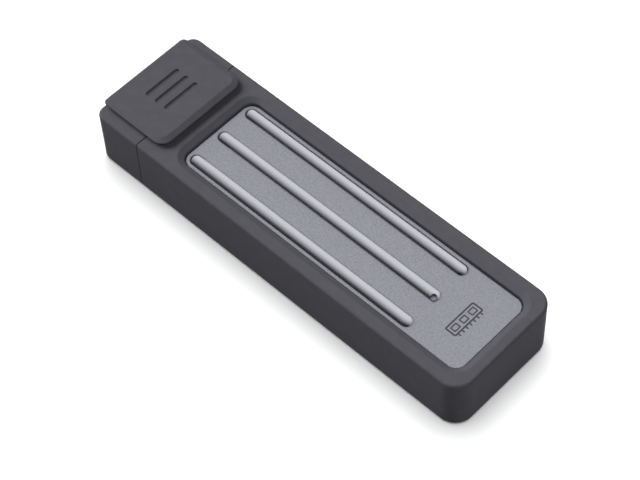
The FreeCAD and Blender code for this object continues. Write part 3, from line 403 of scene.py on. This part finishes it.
def make_mark():
    """Plain drawing of a memory module, printed on the plate."""
    mesh = bmesh.new()
    centre_x, centre_y = MARK_CENTRE
    half_x, half_y = MARK_HALF
    print_patch(mesh, MARK_CENTRE, half_x, half_y, MARK_RADIUS, MARK_LINE)
    for number in MARK_CHIPS:
        place = (centre_x, centre_y + number * MARK_CHIP_PITCH)
        print_patch(mesh, place, *MARK_CHIP_HALF, MARK_CHIP_RADIUS, MARK_CHIP_LINE)
    for number in range(MARK_PINS):
        offset = (number - (MARK_PINS - 1) / 2) * MARK_PIN_PITCH
        place = (centre_x + half_x + MARK_PIN_HALF[0], centre_y + offset)
        print_patch(mesh, place, *MARK_PIN_HALF, MARK_PIN_RADIUS)
    bmesh.ops.recalc_face_normals(mesh, faces=mesh.faces)
    data = bpy.data.meshes.new("plate_mark")
    mesh.to_mesh(data)
    mesh.free()
    mark = bpy.data.objects.new("plate_mark", data)
    bpy.context.scene.collection.objects.link(mark)
    data.materials.append(plain_finish(*MARK_INK))
    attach(mark, "drive")


# Surroundings

def seen_directly(tree):
    """1 for rays that the camera, a mirror or glass sends, else 0."""
    rays = tree.nodes.new("ShaderNodeLightPath").outputs
    camera_or_mirror = math_node(tree, "MAXIMUM", rays["Is Camera Ray"], rays["Is Glossy Ray"])
    return math_node(tree, "MAXIMUM", camera_or_mirror, rays["Is Transmission Ray"])


def backdrop_brightness(tree):
    """1 for the camera. Mirrors and glass see the brighter of the horizon's band and the sky."""
    direction = tree.nodes.new("ShaderNodeTexCoord").outputs["Generated"]
    split = tree.nodes.new("ShaderNodeSeparateXYZ")
    tree.links.new(direction, split.inputs["Vector"])
    heights = [math.sin(math.radians(degrees)) for degrees in (BAND_WHITE, BAND_GONE)]
    band = map_range(tree, split.outputs["Z"], heights, (1.0, 0.0), "SMOOTHSTEP")
    facing = tree.nodes.new("ShaderNodeVectorMath")
    facing.operation = "DOT_PRODUCT"
    facing.inputs[1].default_value = SKY_TOWARDS
    tree.links.new(direction, facing.inputs[0])
    sky = map_range(tree, facing.outputs["Value"], SKY_FACING, SKY_BRIGHTNESS)
    mirrored = math_node(tree, "MAXIMUM", band, sky)
    rays = tree.nodes.new("ShaderNodeLightPath").outputs
    return math_node(tree, "MAXIMUM", mirrored, rays["Is Camera Ray"])


def make_world():
    """Dim light from all round, and a backdrop that is seen but lights nothing matt."""
    world = bpy.data.worlds.new("studio")
    bpy.context.scene.world = world
    tree = clear_nodes(world)
    dim = tree.nodes.new("ShaderNodeBackground")
    dim.inputs["Color"].default_value = AMBIENT
    dim.inputs["Strength"].default_value = AMBIENT_STRENGTH
    backdrop = tree.nodes.new("ShaderNodeBackground")
    backdrop.inputs["Color"].default_value = BACKGROUND
    tree.links.new(backdrop_brightness(tree), backdrop.inputs["Strength"])
    mix = tree.nodes.new("ShaderNodeMixShader")
    tree.links.new(seen_directly(tree), mix.inputs["Fac"])
    tree.links.new(dim.outputs["Background"], mix.inputs[1])
    tree.links.new(backdrop.outputs["Background"], mix.inputs[2])
    output = tree.nodes.new("ShaderNodeOutputWorld")
    tree.links.new(mix.outputs["Shader"], output.inputs["Surface"])


def floor_material():
    material = bpy.data.materials.new("floor")
    tree = clear_nodes(material)
    seen = seen_directly(tree)
    colour = mixed_colour(tree, seen)
    colour.inputs[MIX_COLOUR_A].default_value = FLOOR_BOUNCE
    colour.inputs[MIX_COLOUR_B].default_value = FLOOR_SEEN
    diffuse = tree.nodes.new("ShaderNodeBsdfDiffuse")
    tree.links.new(colour.outputs[MIX_COLOUR_RESULT], diffuse.inputs["Color"])
    lift = tree.nodes.new("ShaderNodeEmission")
    tree.links.new(math_node(tree, "MULTIPLY", seen, FLOOR_LIFT), lift.inputs["Strength"])
    both = tree.nodes.new("ShaderNodeAddShader")
    tree.links.new(diffuse.outputs["BSDF"], both.inputs[0])
    tree.links.new(lift.outputs["Emission"], both.inputs[1])
    output = tree.nodes.new("ShaderNodeOutputMaterial")
    tree.links.new(both.outputs["Shader"], output.inputs["Surface"])
    return material


def make_floor():
    half = FLOOR_SIZE / 2
    corners = [(-half, -half, 0), (half, -half, 0), (half, half, 0), (-half, half, 0)]
    mesh = bpy.data.meshes.new("floor")
    mesh.from_pydata(corners, [], [(0, 1, 2, 3)])
    mesh.materials.append(floor_material())
    floor = bpy.data.objects.new("floor", mesh)
    bpy.context.scene.collection.objects.link(floor)
    return floor


def floor_group(name, floor, state):
    """Collection by which lamps light the floor alone (INCLUDE) or all but the floor (EXCLUDE)."""
    group = bpy.data.collections.new(name)
    group.objects.link(floor)
    for entry in group.collection_objects:
        entry.light_linking.link_state = state
    return group


def far_light(group, name, azimuth, elevation, angle, energy):
    """Large soft lamp far off, which mirrors don't show."""
    turn, rise = math.radians(azimuth), math.radians(elevation)
    level = math.cos(rise)
    towards = Vector((math.cos(turn) * level, math.sin(turn) * level, math.sin(rise)))
    lamp = bpy.data.lights.new(name, "SUN")
    lamp.angle = math.radians(angle)
    lamp.energy = energy
    holder = bpy.data.objects.new(name, lamp)
    holder.rotation_euler = towards.to_track_quat("Z", "Y").to_euler()
    holder.visible_glossy = False
    holder.light_linking.receiver_collection = group
    bpy.context.scene.collection.objects.link(holder)


def make_lights(floor):
    """The part is lit from the sides and the floor from above, so that its shadow stays short."""
    part_alone = floor_group("all_but_floor", floor, "EXCLUDE")
    floor_alone = floor_group("floor_alone", floor, "INCLUDE")
    for group, lamps in ((part_alone, PART_LAMPS), (floor_alone, FLOOR_LAMPS)):
        for lamp in lamps:
            far_light(group, *lamp)


def make_camera():
    azimuth, elevation = CAMERA_AZIMUTH, CAMERA_ELEVATION
    back = Vector((
        math.sin(azimuth) * math.cos(elevation),
        -math.cos(azimuth) * math.cos(elevation),
        math.sin(elevation),
    ))
    level = Vector((math.cos(azimuth), math.sin(azimuth), 0))
    above = back.cross(level)
    right = level * math.cos(CAMERA_ROLL) + above * math.sin(CAMERA_ROLL)
    up = above * math.cos(CAMERA_ROLL) - level * math.sin(CAMERA_ROLL)
    data = bpy.data.cameras.new("camera")
    data.sensor_width = SENSOR_WIDTH
    data.lens = CAMERA_LENS
    data.clip_start = CAMERA_CLIP
    camera = bpy.data.objects.new("camera", data)
    turn = Matrix((right, up, back)).transposed().to_4x4()
    camera.matrix_world = Matrix.Translation(CAMERA_TARGET + back * CAMERA_DISTANCE) @ turn
    bpy.context.scene.collection.objects.link(camera)
    bpy.context.scene.camera = camera


finish_all_nodes()
make_mark()
make_world()
make_lights(make_floor())
make_camera()
bpy.context.scene.view_settings.view_transform = "Standard"
